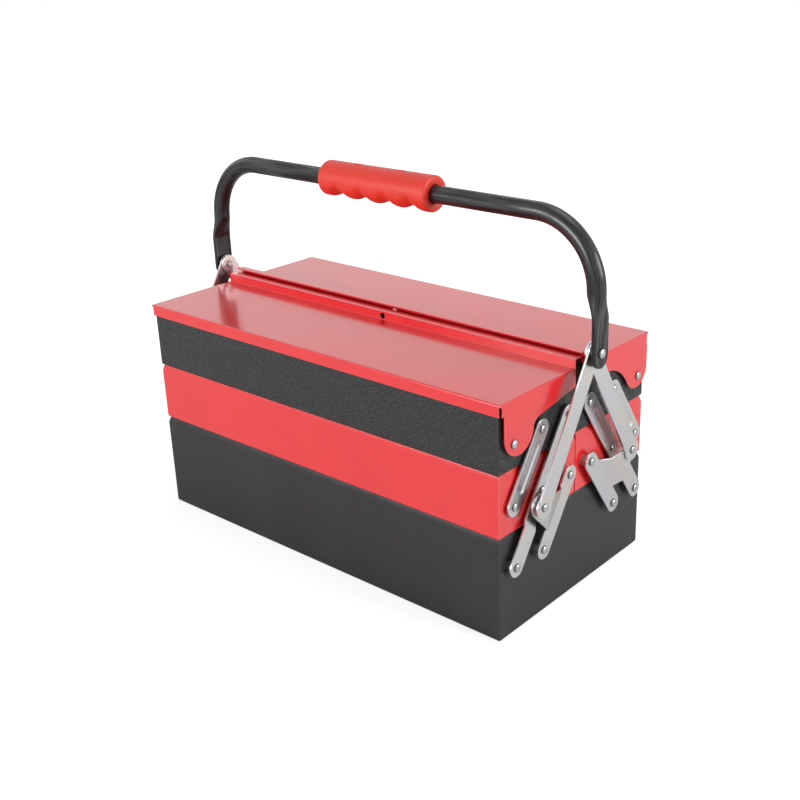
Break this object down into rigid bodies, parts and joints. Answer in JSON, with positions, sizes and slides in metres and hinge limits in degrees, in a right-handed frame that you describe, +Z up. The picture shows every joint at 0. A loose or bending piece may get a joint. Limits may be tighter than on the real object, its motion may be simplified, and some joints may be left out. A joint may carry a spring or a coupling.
{
  "type": "cantilever tool box",
  "caption": "Steel tool box whose two halves of stacked trays spread open on side arms under a swinging carrying handle, with hinged lids and a grip.",
  "frame": {"origin": "middle of the base's underside, on the ground", "axes": "+X along the box to the right, +Y to the back, +Z up"},
  "size_m": [0.445, 0.2026, 0.3312],
  "materials": {
    "base_enamel": "satin black enamel",
    "wrinkle_enamel": "coarse black wrinkle enamel",
    "red_enamel": "gloss red enamel",
    "zinc": "zinc plated",
    "rivet": "bright zinc plated",
    "handle_enamel": "black hammered enamel",
    "grip": "soft gloss moulded"
  },
  "bodies": {
    "base": {"base_box": "base_enamel", "base_rivets": "rivet"},
    "front_arms": {"front_long_arm_left": "zinc", "front_long_arm_right": "zinc"},
    "front_cranks": {"front_crank_left": "zinc", "front_crank_right": "zinc", "front_ear_studs": "rivet"},
    "front_mid": {"front_mid_tray": "red_enamel", "front_mid_rivets": "rivet"},
    "front_short": {"front_short_link_left": "zinc", "front_short_link_right": "zinc"},
    "front_top": {"front_top_tray": "wrinkle_enamel", "front_top_rivets": "rivet", "front_hinge_rivets": "rivet"},
    "front_lid_body": {"front_lid": "red_enamel"},
    "front_links": {"front_handle_link_left": "zinc", "front_handle_link_right": "zinc", "front_link_rivets": "rivet", "front_link_spacers": "rivet"},
    "rear_arms": {"rear_long_arm_left": "zinc", "rear_long_arm_right": "zinc"},
    "rear_cranks": {"rear_crank_left": "zinc", "rear_crank_right": "zinc", "rear_ear_studs": "rivet"},
    "rear_mid": {"rear_mid_tray": "red_enamel", "rear_mid_rivets": "rivet"},
    "rear_short": {"rear_short_link_left": "zinc", "rear_short_link_right": "zinc"},
    "rear_top": {"rear_top_tray": "wrinkle_enamel", "rear_top_rivets": "rivet", "rear_hinge_rivets": "rivet"},
    "rear_lid_body": {"rear_lid": "red_enamel"},
    "rear_links": {"rear_handle_link_left": "zinc", "rear_handle_link_right": "zinc", "rear_link_rivets": "rivet"},
    "carriage": {"handle_rivets": "rivet"},
    "handle": {"handle_tube": "handle_enamel", "handle_grip": "grip"}
  },
  "joints": [
    {"name": "open", "type": "hinge", "parent": "base", "child": "front_arms", "pos_m": [0, -0.085, 0.0615], "axis": [1, 0, 0], "range_deg": [0, 68]},
    {"name": "rear_arm_swing", "type": "hinge", "parent": "base", "child": "rear_arms", "pos_m": [0, 0.085, 0.0615], "axis": [-1, 0, 0], "range_deg": [0, 68]},
    {"name": "front_crank_swing", "type": "hinge", "parent": "base", "child": "front_cranks", "pos_m": [0, -0.05, 0.0615], "axis": [1, 0, 0], "range_deg": [0, 68]},
    {"name": "front_mid_swing", "type": "hinge", "parent": "front_arms", "child": "front_mid", "pos_m": [0, -0.05, 0.113], "axis": [1, 0, 0], "range_deg": [-68, 0]},
    {"name": "front_short_swing", "type": "hinge", "parent": "front_mid", "child": "front_short", "pos_m": [0, -0.085, 0.113], "axis": [1, 0, 0], "range_deg": [0, 68]},
    {"name": "front_top_swing", "type": "hinge", "parent": "front_arms", "child": "front_top", "pos_m": [0, -0.015, 0.1645], "axis": [1, 0, 0], "range_deg": [-68, 0]},
    {"name": "front_lid_hinge", "type": "hinge", "parent": "front_top", "child": "front_lid_body", "pos_m": [0, -0.086, 0.165], "axis": [1, 0, 0], "range_deg": [0, 100]},
    {"name": "rear_crank_swing", "type": "hinge", "parent": "base", "child": "rear_cranks", "pos_m": [0, 0.05, 0.0615], "axis": [-1, 0, 0], "range_deg": [0, 68]},
    {"name": "rear_mid_swing", "type": "hinge", "parent": "rear_arms", "child": "rear_mid", "pos_m": [0, 0.05, 0.113], "axis": [-1, 0, 0], "range_deg": [-68, 0]},
    {"name": "rear_short_swing", "type": "hinge", "parent": "rear_mid", "child": "rear_short", "pos_m": [0, 0.085, 0.113], "axis": [-1, 0, 0], "range_deg": [0, 68]},
    {"name": "rear_top_swing", "type": "hinge", "parent": "rear_arms", "child": "rear_top", "pos_m": [0, 0.015, 0.1645], "axis": [-1, 0, 0], "range_deg": [-68, 0]},
    {"name": "rear_lid_hinge", "type": "hinge", "parent": "rear_top", "child": "rear_lid_body", "pos_m": [0, 0.086, 0.165], "axis": [-1, 0, 0], "range_deg": [0, 100]},
    {"name": "handle_drop", "type": "slide", "parent": "base", "child": "carriage", "axis": [0, 0, -1], "range_m": [0, 0.0727]},
    {"name": "front_link_swing", "type": "hinge", "parent": "carriage", "child": "front_links", "pos_m": [0, 0, 0.214], "axis": [-1, 0, 0], "range_deg": [0, 21.2]},
    {"name": "rear_link_swing", "type": "hinge", "parent": "carriage", "child": "rear_links", "pos_m": [0, 0, 0.214], "axis": [1, 0, 0], "range_deg": [0, 21.2]},
    {"name": "handle_swing", "type": "hinge", "parent": "carriage", "child": "handle", "pos_m": [0, 0, 0.214], "axis": [1, 0, 0], "range_deg": [-80, 80]}
  ],
  "couplings": [
    {"joint": "rear_arm_swing", "follows": "open", "ratio": 1},
    {"joint": "front_crank_swing", "follows": "open", "ratio": 1},
    {"joint": "front_mid_swing", "follows": "open", "ratio": -1},
    {"joint": "front_short_swing", "follows": "open", "ratio": 1},
    {"joint": "front_top_swing", "follows": "open", "ratio": -1},
    {"joint": "rear_crank_swing", "follows": "open", "ratio": 1},
    {"joint": "rear_mid_swing", "follows": "open", "ratio": -1},
    {"joint": "rear_short_swing", "follows": "open", "ratio": 1},
    {"joint": "rear_top_swing", "follows": "open", "ratio": -1},
    {"joint": "handle_drop", "follows": "open", "m_per_rad": 0.061191},
    {"joint": "front_link_swing", "follows": "open", "ratio": 0.31039},
    {"joint": "rear_link_swing", "follows": "open", "ratio": 0.31039}
  ]
}
